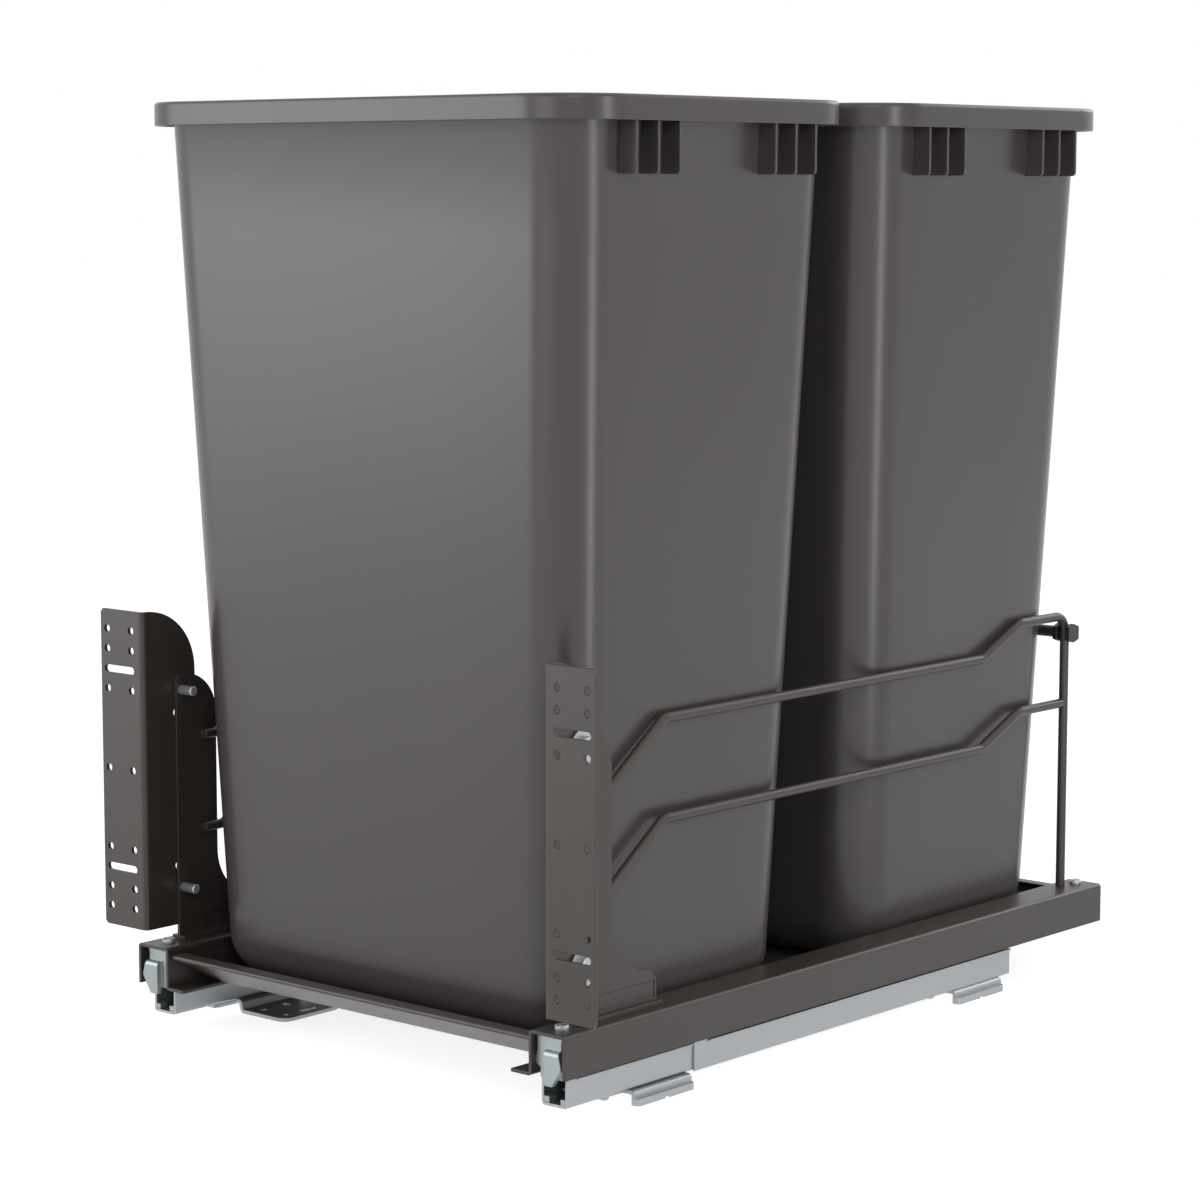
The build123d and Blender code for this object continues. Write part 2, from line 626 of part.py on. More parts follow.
def damper_cylinder():
    """Damper cylinder with a closed rear end and a rod hole in front."""
    body = rod_y(DAMPER_DIAMETER, DAMPER_X, DAMPER_FRONT, DAMPER_REAR, DAMPER_Z)
    body -= rod_y(
        DAMPER_BORE, DAMPER_X, DAMPER_FRONT + DAMPER_END_WALL, DAMPER_REAR - DAMPER_END_WALL, DAMPER_Z,
    )
    return body - rod_y(
        DAMPER_ROD + 2 * RUNNING_GAP, DAMPER_X,
        DAMPER_FRONT - OVERRUN, DAMPER_FRONT + 2 * DAMPER_END_WALL, DAMPER_Z,
    )


def damper_rod():
    """Damper rod and piston, pulled out of the cylinder when the frame is home."""
    piston_front = DAMPER_FRONT + DAMPER_END_WALL + RUNNING_GAP
    piston_rear = piston_front + PISTON_LENGTH
    rod = rod_y(DAMPER_ROD, DAMPER_X, CATCH_FRONT + CATCH_LENGTH, piston_rear, DAMPER_Z)
    return rod + rod_y(PISTON_DIAMETER, DAMPER_X, piston_front, piston_rear, DAMPER_Z)


def closer_catch():
    """Sliding catch whose arm reaches over the striker."""
    rear = CATCH_FRONT + CATCH_LENGTH
    body = block(
        CATCH_INNER_X, CATCH_OUTER_X, CATCH_FRONT, rear, CATCH_TOP - CATCH_DEPTH, CATCH_TOP,
    )
    arm_z = STRIKER_TOP + RUNNING_GAP
    return body + block(STRIKER_X, CATCH_OUTER_X, CATCH_FRONT, rear, arm_z, arm_z + CATCH_ARM_HEIGHT)


def floor_bracket(front):
    """Bracket that lifts the channel off the floor, with an outer foot and an inner screw plate."""
    half = FOOT_SHEET / 2
    rear = front + FOOT_LENGTH
    strip_z = CHANNEL_BOTTOM - half
    wall_x = CHANNEL_CENTRE + FOOT_WALL_REACH
    edge_x = CHANNEL_CENTRE + FOOT_OUTER_REACH
    bend_x = CHANNEL_CENTRE - FOOT_BEND_REACH
    inner_x = CHANNEL_CENTRE - FOOT_INNER_REACH
    section = bent_section([
        (wall_x, 0),
        (wall_x, strip_z),
        (bend_x + FOOT_BEND_RUN, strip_z),
        (bend_x, half),
        (inner_x, half),
    ], FOOT_SHEET, FOOT_BEND)
    bracket = along_y(section, front, rear)
    bracket = fillet(bracket.edges().filter_by(Axis.Z).group_by(Axis.X)[0], FOOT_CORNER)
    foot = block(wall_x, edge_x, front, rear, 0, FOOT_BLOCK_HEIGHT)
    bracket += fillet(foot.edges().filter_by(Axis.Z).group_by(Axis.X)[-1], FOOT_BLOCK_CORNER)
    notch_y = front + FOOT_NOTCH_BACK
    bracket -= block(
        wall_x + half, edge_x + OVERRUN, notch_y, notch_y + FOOT_NOTCH_LENGTH,
        -OVERRUN, FOOT_NOTCH_HEIGHT,
    )
    hole_x = inner_x + FOOT_HOLE_INSET
    hole_y = front + FOOT_HOLE_BACK
    for x in (hole_x, hole_x + FOOT_HOLE_SPACING):
        bracket -= rod_z(FOOT_HOLE, x, hole_y, -OVERRUN, FOOT_SHEET + OVERRUN)
        turn = 90 if x == hole_x else 0
        length = FOOT_SLOT_LENGTH if x == hole_x else FOOT_SLOT_LENGTH / 2
        slot_y = hole_y + FOOT_SLOT_BACK
        bracket -= drop_slot(x, slot_y, length, FOOT_HOLE, -OVERRUN, FOOT_SHEET + OVERRUN, turn)
    tongue_top = CHANNEL_BOTTOM
    tongue_x = CHANNEL_CENTRE - TONGUE_WIDTH / 2
    bracket += block(
        tongue_x, tongue_x + TONGUE_WIDTH, front - TONGUE_LENGTH, front + half,
        tongue_top - TONGUE_SHEET, tongue_top,
    )
    bracket += block(
        tongue_x, tongue_x + TONGUE_WIDTH,
        front - TONGUE_LENGTH - TONGUE_SHEET / 2, front - TONGUE_LENGTH + TONGUE_TIP,
        tongue_top - 2 * TONGUE_SHEET, tongue_top,
    )
    return bracket


def upright_plate():
    """Plate welded to the side rail on a base strip, with an empty recessed panel on each face."""
    y0 = UPRIGHT_FRONT_Y
    y1 = y0 + UPRIGHT_WIDTH
    y2 = y0 + UPRIGHT_FOOT_LENGTH
    z0 = RAIL_TOP
    z1 = z0 + UPRIGHT_FOOT_HEIGHT
    z2 = z0 + UPRIGHT_HEIGHT
    outline = FilletPolyline(
        (y2, z0), (y2, z1), (y1, z1), (y1, z2), (y0, z2), (y0, z0),
        radius=[UPRIGHT_FOOT_ROUND, UPRIGHT_FLARE, UPRIGHT_REAR_ROUND, UPRIGHT_FRONT_ROUND],
    )
    face = make_face(outline + Line((y0, z0), (y2, z0)))
    plate = along_x(face, UPRIGHT_INNER_X, UPRIGHT_OUTER_X)
    half = UPRIGHT_BASE_WIDTH / 2
    plate += block(
        RAIL_CENTRE - half, RAIL_CENTRE + half,
        y0, y2, z0, z0 + UPRIGHT_BASE_HEIGHT,
    )
    panel_z = z0 + UPRIGHT_BASE_HEIGHT + PANEL_ABOVE_BASE
    for x in (UPRIGHT_INNER_X, UPRIGHT_OUTER_X):
        plate -= block(
            x - PANEL_DEPTH, x + PANEL_DEPTH,
            y0 + PANEL_SETBACK, y0 + PANEL_SETBACK + PANEL_LENGTH,
            panel_z, panel_z + PANEL_HEIGHT,
        )
    for z in BOLT_HEIGHTS:
        plate -= rod_x(BOLT_HOLE, UPRIGHT_INNER_X - OVERRUN, UPRIGHT_OUTER_X + OVERRUN, BOLT_Y, z)
    return plate


def door_bracket():
    """Angle whose flange takes the door and whose slotted web is bolted to the upright plate."""
    half = DOOR_SHEET / 2
    front = -DOOR_FORWARD - DOOR_SHEET
    web_x = DOOR_INNER_X + half
    edge_x = DOOR_INNER_X + DOOR_FLANGE
    top = DOOR_BOTTOM + DOOR_HEIGHT
    middle = DOOR_BOTTOM + DOOR_HEIGHT / 2
    section = bent_section([
        (web_x, DOOR_WEB_DEPTH), (web_x, front + half), (edge_x, front + half),
    ], DOOR_SHEET, DOOR_BEND)
    angle = Pos(0, 0, DOOR_BOTTOM) * extrude(section, amount=DOOR_HEIGHT, dir=(0, 0, 1))
    side = FilletPolyline(
        (-DOOR_WEB_DEPTH, DOOR_BOTTOM), (DOOR_WEB_DEPTH, DOOR_BOTTOM),
        (DOOR_WEB_DEPTH, top), (-DOOR_WEB_DEPTH, top),
        radius=[DOOR_LOWER_ROUND, DOOR_ARC],
    )
    side_face = make_face(side + Line((-DOOR_WEB_DEPTH, top), (-DOOR_WEB_DEPTH, DOOR_BOTTOM)))
    angle &= along_x(side_face, DOOR_INNER_X - OVERRUN, edge_x + OVERRUN)
    cut = DOOR_CORNER_CUT
    front_face = make_face(Polyline(
        (DOOR_INNER_X - OVERRUN, DOOR_BOTTOM), (edge_x - cut, DOOR_BOTTOM), (edge_x, DOOR_BOTTOM + cut),
        (edge_x, top - cut), (edge_x - cut, top), (DOOR_INNER_X - OVERRUN, top), close=True,
    ))
    angle &= along_y(front_face, front - OVERRUN, DOOR_WEB_DEPTH + OVERRUN)
    column = DOOR_INNER_X + DOOR_COLUMN_INSET
    for step in DOOR_HOLE_STEPS:
        for x in (column, column + DOOR_COLUMN_SPACING):
            angle -= rod_y(DOOR_HOLE, x, front - OVERRUN, OVERRUN, middle + step * DOOR_HOLE_PITCH)
    for step in DOOR_SLOT_STEPS:
        slot = Pos(column + DOOR_COLUMN_SPACING / 2, middle + step * DOOR_HOLE_PITCH)
        slot_face = slot * SlotOverall(DOOR_SLOT_LENGTH, DOOR_SLOT_HEIGHT)
        angle -= along_y(slot_face, front - OVERRUN, OVERRUN)
    for z, shift in zip(BOLT_HEIGHTS, (WEB_TILT_SLOT_SHIFT, -WEB_TILT_SLOT_SHIFT)):
        bolt_slot = Pos(BOLT_Y, z) * Rot(0, 0, 90) * SlotOverall(WEB_SLOT_LENGTH, WEB_SLOT_WIDTH)
        angle -= along_x(bolt_slot, DOOR_INNER_X - OVERRUN, DOOR_OUTER_X + OVERRUN)
        tilt_y = WEB_TILT_SLOT_FRONT + WEB_SLOT_LENGTH / 2
        tilt_slot = Pos(tilt_y, z + shift) * SlotOverall(WEB_SLOT_LENGTH, WEB_TILT_SLOT_WIDTH)
        angle -= along_x(tilt_slot, DOOR_INNER_X - OVERRUN, DOOR_OUTER_X + OVERRUN)
    return angle


def bracket_washer():
    """Washers between the door bracket's web and its bolt heads."""
    x0 = DOOR_OUTER_X + RUNNING_GAP
    x1 = x0 + WASHER_THICKNESS
    washers = Part()
    for z in BOLT_HEIGHTS:
        ring = rod_x(WASHER_DIAMETER, x0, x1, BOLT_Y, z)
        washers += ring - rod_x(BOLT_HOLE, x0 - OVERRUN, x1 + OVERRUN, BOLT_Y, z)
    return washers


def bracket_bolts():
    """Bolts with socket heads outside and threaded ends that reach in past the upright plate."""
    x0 = UPRIGHT_INNER_X - BOLT_REACH
    x1 = DOOR_OUTER_X + RUNNING_GAP + WASHER_THICKNESS
    x2 = x1 + BOLT_HEAD_HEIGHT
    bolts = Part()
    for z in BOLT_HEIGHTS:
        shank = rod_x(BOLT_DIAMETER, x0, x1, BOLT_Y, z)
        shank = chamfer(shank.edges().group_by(Axis.X)[0], BOLT_CHAMFER)
        head = rod_x(BOLT_HEAD_DIAMETER, x1, x2, BOLT_Y, z)
        head = fillet(head.edges().group_by(Axis.X)[-1], BOLT_HEAD_EDGE)
        key = Pos(BOLT_Y, z) * RegularPolygon(BOLT_KEY / 2, 6, major_radius=False)
        bolts += shank + head - along_x(key, x2 - BOLT_KEY_DEPTH, x2 + OVERRUN)
    return bolts


def side_wire(lift, end_points, end_bends):
    """One side wire, swept along its bends and ending at the given points."""
    base = RAIL_TOP + lift
    points = [
        (WIRE_START_Y, base + WIRE_START_Z),
        (WIRE_RISE_Y, base + WIRE_START_Z),
        (WIRE_LEVEL_Y, base + WIRE_LEVEL_Z),
        (WIRE_REAR_RISE_Y, base + WIRE_LEVEL_Z),
        (WIRE_REAR_LEVEL_Y, base + WIRE_REAR_Z),
    ] + end_points
    bends = [WIRE_BEND, WIRE_BEND, WIRE_BEND, WIRE_BEND] + end_bends
    line = FilletPolyline(*[(WIRE_X, y, z) for y, z in points], radius=bends)
    start = Plane(origin=line @ 0, z_dir=line % 0)
    return sweep(start * Circle(WIRE_DIAMETER / 2), path=line)


def upper_wire():
    """Upper side wire, which turns down at the rear to make the post."""
    z = RAIL_TOP + WIRE_REAR_Z
    return side_wire(0, [(POST_Y, z), (POST_Y, RAIL_TOP)], [WIRE_CORNER_BEND])


def lower_wire():
    """Lower side wire, welded to the front of the post."""
    z = RAIL_TOP + WIRE_REAR_Z - WIRE_SPACING
    return side_wire(-WIRE_SPACING, [(POST_Y - WIRE_DIAMETER / 2, z)], [])


def clip_inner_face():
    """X of the clip's inner end, where the cross rod meets it."""
    return WIRE_X - WIRE_DIAMETER / 2 - FIT_GAP - CLIP_FLANGE


def post_clip():
    """Moulded clip that grips the post between two six-sided flanges."""
    z = RAIL_TOP + ROD_Z
    outline = make_face(Polyline(
        (ROD_Y - CLIP_WIDTH / 2, z - CLIP_SIDE / 2), (ROD_Y, z - CLIP_HEIGHT / 2),
        (ROD_Y + CLIP_WIDTH / 2, z - CLIP_SIDE / 2), (ROD_Y + CLIP_WIDTH / 2, z + CLIP_SIDE / 2),
        (ROD_Y, z + CLIP_HEIGHT / 2), (ROD_Y - CLIP_WIDTH / 2, z + CLIP_SIDE / 2), close=True,
    ))
    reach = WIRE_DIAMETER / 2 + FIT_GAP
    x0 = clip_inner_face()
    x1 = WIRE_X + reach + CLIP_FLANGE
    clip = along_x(outline, x0, x0 + CLIP_FLANGE) + along_x(outline, x1 - CLIP_FLANGE, x1)
    clip += block(
        x0, x1, POST_Y + reach, ROD_Y + CLIP_WIDTH / 2, z - CLIP_SIDE / 2, z + CLIP_SIDE / 2,
    )
    return clip


def rear_cross_rod():
    """Rod across the back of the frame, between the two post clips."""
    end = clip_inner_face()
    return rod_x(ROD_DIAMETER, -end, end, ROD_Y, RAIL_TOP + ROD_Z)


def rail_screws(y, sheet_below):
    """One slotted dome-head screw on each side rail."""
    screws = Part()
    top = RAIL_TOP + SCREW_HEAD_HEIGHT
    for x in (-RAIL_CENTRE, RAIL_CENTRE):
        head = rod_z(SCREW_HEAD, x, y, RAIL_TOP, top)
        head = fillet(head.edges().group_by(Axis.Z)[-1], SCREW_HEAD_EDGE)
        head -= block(
            x - SCREW_SLOT / 2, x + SCREW_SLOT / 2, y - SCREW_HEAD, y + SCREW_HEAD,
            top - SCREW_SLOT_DEPTH, top + OVERRUN,
        )
        head += rod_z(SCREW_SHANK, x, y, RAIL_CEILING - sheet_below, RAIL_TOP)
        screws += head
    return screws


def bin_body(side_inset, front_inset, z0, z1, bottom_round, corner):
    """Tapered tub between two heights, drawn in from the full body by an even wall."""
    width = BIN_RIM_WIDTH - 2 * BIN_SIDE_OVERHANG
    depth = BIN_RIM_DEPTH - 2 * BIN_FRONT_OVERHANG

    def outline(z):
        share = 1 - z / BIN_BODY_HEIGHT
        w = width - 2 * BIN_SIDE_TAPER * share - 2 * side_inset
        d = depth - 2 * BIN_FRONT_TAPER * share - 2 * front_inset
        return Pos(0, 0, z) * RectangleRounded(w, d, corner)

    tub = loft([outline(z0), outline(z1)], ruled=True)
    return fillet(tub.edges().group_by(Axis.Z)[0], bottom_round)


def bin_shape():
    """Open bin with its rim, skirt and the fins under the rim, standing on z 0."""
    skirt_low = BIN_BODY_HEIGHT
    tub = bin_body(0, 0, 0, BIN_HEIGHT, BIN_FOOT_ROUND, BIN_BODY_ROUND)
    hollow = bin_body(
        BIN_WALL, BIN_WALL, BIN_WALL, BIN_HEIGHT + OVERRUN,
        BIN_FOOT_ROUND - BIN_WALL, BIN_BODY_ROUND - BIN_WALL,
    )
    rim = extrude(
        Pos(0, 0, skirt_low) * RectangleRounded(BIN_RIM_WIDTH, BIN_RIM_DEPTH, BIN_RIM_ROUND),
        amount=BIN_SKIRT, dir=(0, 0, 1),
    )
    rim = fillet(rim.edges().group_by(Axis.Z)[-1], BIN_RIM_EDGE)
    inside = RectangleRounded(
        BIN_RIM_WIDTH - 2 * BIN_WALL, BIN_RIM_DEPTH - 2 * BIN_WALL, BIN_RIM_ROUND - BIN_WALL,
    )
    rim -= extrude(
        Pos(0, 0, skirt_low - BIN_WALL) * inside, amount=BIN_SKIRT, dir=(0, 0, 1),
    )
    fin_x = BIN_RIM_WIDTH / 2 - FIN_SETBACK
    inner_x = BIN_RIM_WIDTH / 2 - BIN_SIDE_OVERHANG - BIN_WALL
    fins = Part()
    for group in (-FIN_GROUP_OFFSET, FIN_GROUP_OFFSET):
        for k in range(FIN_COUNT):
            y = group + FIN_GROUP_SHIFT + (k - (FIN_COUNT - 1) / 2) * FIN_PITCH
            fin = block(
                inner_x - FIN_ROUND, fin_x, y - FIN_THICKNESS / 2, y + FIN_THICKNESS / 2,
                skirt_low - FIN_HEIGHT, skirt_low + FIN_THICKNESS,
            )
            corner = fin.edges().filter_by(Axis.Y).group_by(Axis.Z)[0].sort_by(Axis.X)[-1]
            fins += fillet(corner, FIN_ROUND)
    fins += mirror(fins, about=Plane.YZ)
    return tub + rim + fins - hollow


def waste_bins():
    """The front and rear bins in their places."""
    shape = bin_shape()
    centre = BIN_FRONT_Y + BIN_RIM_DEPTH / 2
    return [Pos(0, centre + k * BIN_PITCH, TRAY_TOP) * shape for k in range(2)]


os.makedirs("parts", exist_ok=True)

save_pair("cabinet_channel", cabinet_channel())
save_pair("channel_cover", channel_cover())
save_pair("channel_stops", stop_blocks())
save_pair("closer_striker", striker())
save_pair("floor_bracket_front", floor_bracket(FOOT_FRONT_Y))
save_pair("floor_bracket_rear", floor_bracket(FOOT_REAR_Y))
save_pair("lower_cage", roller_cage(LOWER_CAGE_FRONT, LOWER_CAGE_Z, LOWER_CAGE_HALF, True))
save_pair("lower_rollers", rollers(LOWER_CAGE_FRONT, LOWER_CAGE_Z))
save_pair("middle_member", middle_member())
save_pair("upper_cage", roller_cage(UPPER_CAGE_FRONT, UPPER_CAGE_Z, UPPER_CAGE_HALF, False))
save_pair("upper_rollers", rollers(UPPER_CAGE_FRONT, UPPER_CAGE_Z))
save_pair("top_member", top_member())
save_pair("slide_end_plate", end_plate())
save_pair("closer_housing", closer_housing())
save_pair("damper_cylinder", damper_cylinder())
save_pair("damper_rod", damper_rod())
save_pair("closer_catch", closer_catch())
save_pair("side_rail", side_rail())
save("base_tray", base_tray())
save_pair("upright_plate", upright_plate())
save_pair("upper_wire", upper_wire())
save_pair("lower_wire", lower_wire())
save_pair("post_clip", post_clip())
save("rear_cross_rod", rear_cross_rod())
save("front_rail_screws", rail_screws(SCREW_FRONT_Y, TOP_SHEET))
save("rear_rail_screws", rail_screws(SCREW_REAR_Y, CLOSER_ROOF))
save_pair("door_bracket", door_bracket())
save_pair("bracket_washers", bracket_washer())
save_pair("bracket_bolts", bracket_bolts())
bin_front, bin_rear = waste_bins()
save("bin_front", bin_front)
save("bin_rear", bin_rear)
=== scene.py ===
import math
import bmesh
import bpy
from mathutils import Matrix, Vector


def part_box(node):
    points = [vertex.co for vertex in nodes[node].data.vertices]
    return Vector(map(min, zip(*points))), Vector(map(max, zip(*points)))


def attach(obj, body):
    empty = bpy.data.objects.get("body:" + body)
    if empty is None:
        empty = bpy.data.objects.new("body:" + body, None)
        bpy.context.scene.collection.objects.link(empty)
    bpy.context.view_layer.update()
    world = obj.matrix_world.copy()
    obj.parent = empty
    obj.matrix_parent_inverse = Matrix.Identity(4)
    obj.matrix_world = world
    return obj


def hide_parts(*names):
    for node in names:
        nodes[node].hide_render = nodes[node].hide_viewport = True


MM = 0.001

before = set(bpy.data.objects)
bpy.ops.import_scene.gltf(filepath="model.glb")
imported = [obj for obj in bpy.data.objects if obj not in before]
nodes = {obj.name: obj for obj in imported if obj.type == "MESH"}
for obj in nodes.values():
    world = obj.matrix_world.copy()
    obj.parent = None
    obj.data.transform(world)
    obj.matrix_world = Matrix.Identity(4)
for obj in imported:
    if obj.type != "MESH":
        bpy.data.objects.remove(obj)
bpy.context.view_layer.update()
scene = bpy.context.scene


# Node helpers

def new_material(name):
    mat = bpy.data.materials.new(name)
    mat.use_nodes = True
    tree = mat.node_tree
    tree.nodes.clear()
    out = tree.nodes.new("ShaderNodeOutputMaterial")
    return mat, tree, out


def noise(tree, coords, scale, detail, rough):
    node = tree.nodes.new("ShaderNodeTexNoise")
    node.inputs["Scale"].default_value = scale
    node.inputs["Detail"].default_value = detail
    node.inputs["Roughness"].default_value = rough
    tree.links.new(coords, node.inputs["Vector"])
    return node.outputs["Fac"]


def ramp(tree, factor, low, high, out_low, out_high):
    node = tree.nodes.new("ShaderNodeMapRange")
    node.inputs["From Min"].default_value = low
    node.inputs["From Max"].default_value = high
    node.inputs["To Min"].default_value = out_low
    node.inputs["To Max"].default_value = out_high
    tree.links.new(factor, node.inputs["Value"])
    return node.outputs["Result"]


def tint(tree, factor, dark, light):
    node = tree.nodes.new("ShaderNodeMix")
    node.data_type = "RGBA"
    node.inputs["A"].default_value = (*dark, 1)
    node.inputs["B"].default_value = (*light, 1)
    tree.links.new(factor, node.inputs["Factor"])
    return node.outputs["Result"]


def scaled(tree, coords, factors):
    node = tree.nodes.new("ShaderNodeMapping")
    node.inputs["Scale"].default_value = factors
    tree.links.new(coords, node.inputs["Vector"])
    return node.outputs["Vector"]


def larger(tree, first, second):
    node = tree.nodes.new("ShaderNodeMath")
    node.operation = "MAXIMUM"
    tree.links.new(first, node.inputs[0])
    tree.links.new(second, node.inputs[1])
    return node.outputs[0]


def seen_mix(tree, unseen, seen, out):
    """Sends one shader to camera, glossy and transmission rays and the other to the rest."""
    path = tree.nodes.new("ShaderNodeLightPath").outputs
    direct = larger(tree, path["Is Camera Ray"], path["Is Glossy Ray"])
    mix = tree.nodes.new("ShaderNodeMixShader")
    tree.links.new(larger(tree, direct, path["Is Transmission Ray"]), mix.inputs[0])
    tree.links.new(unseen, mix.inputs[1])
    tree.links.new(seen, mix.inputs[2])
    tree.links.new(mix.outputs[0], out.inputs["Surface"])


# The grain and the cloud of every solid material
FINE_DETAIL, FINE_ROUGH = 3.0, 0.6
CLOUD_DETAIL, CLOUD_ROUGH = 3.0, 0.5
FINE_SHARE, CLOUD_SHARE = 0.4, 0.6
MIX_LOW, MIX_HIGH = 0.3, 0.7
BEVEL_SAMPLES = 4


def surface(name, colour, spread, roughness, rough_spread, metallic=0.0,
            grain=(1.0, 1.0, 1.0), grain_scale=900.0, cloud_scale=9.0,
            bump=0.0, bump_distance=0.0002, bevel=0.0, specular=0.5):
    """A solid material: a soft cloud and a fine grain move its colour, gloss and surface."""
    mat, tree, out = new_material(name)
    shader = tree.nodes.new("ShaderNodeBsdfPrincipled")
    shader.inputs["Metallic"].default_value = metallic
    shader.inputs["Specular IOR Level"].default_value = specular
    tree.links.new(shader.outputs["BSDF"], out.inputs["Surface"])
    coords = tree.nodes.new("ShaderNodeTexCoord").outputs["Object"]
    fine = noise(tree, scaled(tree, coords, grain), grain_scale, FINE_DETAIL, FINE_ROUGH)
    cloud = noise(tree, coords, cloud_scale, CLOUD_DETAIL, CLOUD_ROUGH)
    both = tree.nodes.new("ShaderNodeMath")
    both.operation = "MULTIPLY_ADD"
    both.inputs[1].default_value = FINE_SHARE
    tree.links.new(fine, both.inputs[0])
    tree.links.new(ramp(tree, cloud, 0.0, 1.0, 0.0, CLOUD_SHARE), both.inputs[2])
    mixed = both.outputs[0]
    dark = tuple(c * (1 - spread) for c in colour)
    light = tuple(min(1.0, c * (1 + spread)) for c in colour)
    tree.links.new(tint(tree, ramp(tree, mixed, MIX_LOW, MIX_HIGH, 0.0, 1.0), dark, light),
                   shader.inputs["Base Color"])
    tree.links.new(ramp(tree, mixed, MIX_LOW, MIX_HIGH,
                        roughness - rough_spread, roughness + rough_spread),
                   shader.inputs["Roughness"])
    normal = None
    if bevel:
        edge = tree.nodes.new("ShaderNodeBevel")
        edge.samples = BEVEL_SAMPLES
        edge.inputs["Radius"].default_value = bevel
        normal = edge.outputs["Normal"]
    if bump:
        node = tree.nodes.new("ShaderNodeBump")
        node.inputs["Strength"].default_value = bump
        node.inputs["Distance"].default_value = bump_distance
        tree.links.new(fine, node.inputs["Height"])
        if normal:
            tree.links.new(normal, node.inputs["Normal"])
        normal = node.outputs["Normal"]
    if normal:
        tree.links.new(normal, shader.inputs["Normal"])
    return mat


# Materials: colour, its spread, roughness, its spread, then what differs from the defaults

BIN = surface("bin_moulded_grey", (0.092, 0.080, 0.079), 0.03, 0.29, 0.02,
              grain_scale=1400.0, cloud_scale=5.0, bump=0.05, bump_distance=0.0001,
              specular=0.45)
PAINT = surface("powder_coat_dark", (0.055, 0.046, 0.041), 0.06, 0.38, 0.04,
                grain_scale=1100.0, cloud_scale=14.0, bump=0.10, bump_distance=0.00012,
                bevel=0.0007)
ZINC = surface("zinc_sheet", (0.37, 0.39, 0.405), 0.06, 0.38, 0.06, metallic=0.85,
               grain=(1.0, 0.02, 1.0), cloud_scale=20.0, bump=0.05,
               bump_distance=0.00005, bevel=0.0006)
PLATED = surface("zinc_cast", (0.34, 0.38, 0.38), 0.05, 0.40, 0.05, metallic=0.7,
                 grain_scale=700.0, bump=0.05, bump_distance=0.00005, bevel=0.0010)
FASTENER = surface("zinc_fastener", (0.50, 0.52, 0.53), 0.05, 0.36, 0.05, metallic=0.55,
                   bump=0.04, bump_distance=0.00005, bevel=0.0006)
STEEL = surface("bright_steel", (0.45, 0.46, 0.47), 0.04, 0.24, 0.04, metallic=1.0,
                grain_scale=1500.0, bevel=0.0002)
NYLON_BLACK = surface("nylon_black", (0.020, 0.019, 0.019), 0.08, 0.42, 0.05,
                      grain_scale=1200.0, bump=0.08, bevel=0.0004)
ACETAL_GREY = surface("acetal_grey", (0.20, 0.20, 0.20), 0.05, 0.40, 0.05,
                      grain_scale=1200.0, bevel=0.0003)

# The carried-over nodes of each side, and those that are there once
SIDED = (
    (PAINT, ("side_rail", "upright_plate", "upper_wire", "lower_wire", "door_bracket")),
    (ZINC, ("cabinet_channel", "channel_cover", "middle_member", "top_member",
            "closer_striker", "floor_bracket_front", "floor_bracket_rear")),
    (PLATED, ("slide_end_plate", "channel_stops")),
    (FASTENER, ("bracket_bolts", "bracket_washers")),
    (STEEL, ("lower_rollers", "upper_rollers", "damper_rod")),
    (NYLON_BLACK, ("post_clip", "closer_housing", "closer_catch", "damper_cylinder")),
    (ACETAL_GREY, ("lower_cage", "upper_cage")),
)
SINGLE = (
    (PAINT, ("base_tray", "rear_cross_rod")),
    (FASTENER, ("front_rail_screws", "rear_rail_screws")),
)


def dress(node, mat):
    """Gives a carried-over node its material."""
    for slot in nodes[node].material_slots:
        slot.link = "OBJECT"
        slot.material = mat


for mat, bases in SIDED:
    for base in bases:
        dress(base + "_right", mat)
        dress(base + "_left", mat)
for mat, names in SINGLE:
    for node in names:
        dress(node, mat)


# Mesh helpers

def mesh_object(name, bm, mat, sharp_angle=None):
    """An object from a bmesh: flat, or smooth with edges sharper than the angle kept."""
    bmesh.ops.recalc_face_normals(bm, faces=bm.faces)
    mesh = bpy.data.meshes.new(name)
    bm.to_mesh(mesh)
    bm.free()
    obj = bpy.data.objects.new(name, mesh)
    scene.collection.objects.link(obj)
    mesh.materials.append(mat)
    if sharp_angle:
        for poly in mesh.polygons:
            poly.use_smooth = True
        mesh.set_sharp_from_angle(angle=math.radians(sharp_angle))
    return obj


def loop_of(bm, origin, points):
    """Vertices at points in millimetres from an origin in metres."""
    return [bm.verts.new((origin.x + x * MM, origin.y + y * MM, origin.z + z * MM))
            for x, y, z in points]


def loft(bm, loops):
    """Joins loops of equal length with quads and closes both ends."""
    count = len(loops[0])
    for a, b in zip(loops, loops[1:]):
        for i in range(count):
            j = (i + 1) % count
            bm.faces.new((a[i], a[j], b[j], b[i]))
    bm.faces.new(loops[0])
    bm.faces.new(list(reversed(loops[-1])))


# Steps round a corner of the bin's plan, and along each side between corners
CORNER_STEPS, SIDE_STEPS = 14, 4


